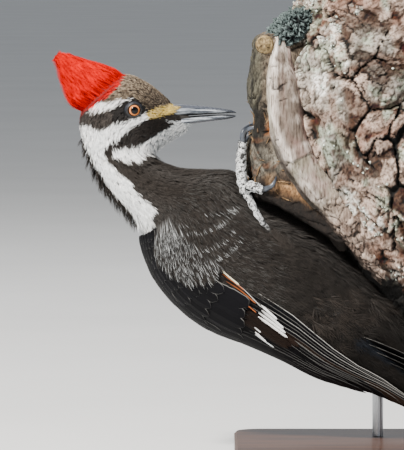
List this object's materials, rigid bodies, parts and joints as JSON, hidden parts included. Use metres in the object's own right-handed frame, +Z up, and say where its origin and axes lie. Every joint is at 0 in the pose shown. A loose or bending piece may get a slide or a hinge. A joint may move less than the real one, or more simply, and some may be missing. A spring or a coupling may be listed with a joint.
{
  "type": "pileated woodpecker model",
  "caption": "Life-size still model of an adult female pileated woodpecker clinging under a broken limb, on a plain display stand.",
  "frame": {"origin": "centre of the stand base's underside", "axes": "+Z up, +X the way the bill points, -Y towards the bird's right side"},
  "size_m": [0.4347, 0.2, 0.3692],
  "materials": {
    "plumage": "dense barbed feathers, dark slate, dull",
    "crest": "scarlet hair-like feathers, dull",
    "horn": "worn slate-grey keratin, satin",
    "eye": "wet amber eye with a black pupil, gloss",
    "leg_skin": "pale blue-grey scaled skin, satin",
    "bark": "rough plated bark with lichen, dull",
    "weathered_wood": "broken, weathered wood, dull",
    "stand_wood": "stained hardwood, satin varnish",
    "stand_steel": "drawn steel rod, satin"
  },
  "bodies": {
    "root": {"head": "plumage", "neck": "plumage", "breast": "plumage", "belly": "plumage", "rump": "plumage", "crest": "crest", "bill_upper": "horn", "bill_lower": "horn", "eye_left": "eye", "eye_right": "eye", "wing_left_coverts": "plumage", "wing_left_secondaries": "plumage", "wing_left_primaries": "plumage", "tail_left_1": "plumage", "tail_left_2": "plumage", "tail_left_3": "plumage", "tail_left_4": "plumage", "tail_left_5": "plumage", "thigh_left": "plumage", "tarsus_left": "leg_skin", "toe_left_inner": "leg_skin", "claw_left_inner": "horn", "toe_left_middle": "leg_skin", "claw_left_middle": "horn", "toe_left_outer": "leg_skin", "claw_left_outer": "horn", "toe_left_rear": "leg_skin", "claw_left_rear": "horn", "wing_right_coverts": "plumage", "wing_right_secondaries": "plumage", "wing_right_primaries": "plumage", "tail_right_1": "plumage", "tail_right_2": "plumage", "tail_right_3": "plumage", "tail_right_4": "plumage", "tail_right_5": "plumage", "thigh_right": "plumage", "tarsus_right": "leg_skin", "toe_right_inner": "leg_skin", "claw_right_inner": "horn", "toe_right_middle": "leg_skin", "claw_right_middle": "horn", "toe_right_outer": "leg_skin", "claw_right_outer": "horn", "toe_right_rear": "leg_skin", "claw_right_rear": "horn", "perch_log": "bark", "perch_lip_near": "weathered_wood", "perch_lip_far": "weathered_wood", "perch_stub": "weathered_wood", "stand_base": "stand_wood", "stand_rod_1": "stand_steel", "stand_rod_2": "stand_steel"}
  },
  "joints": []
}
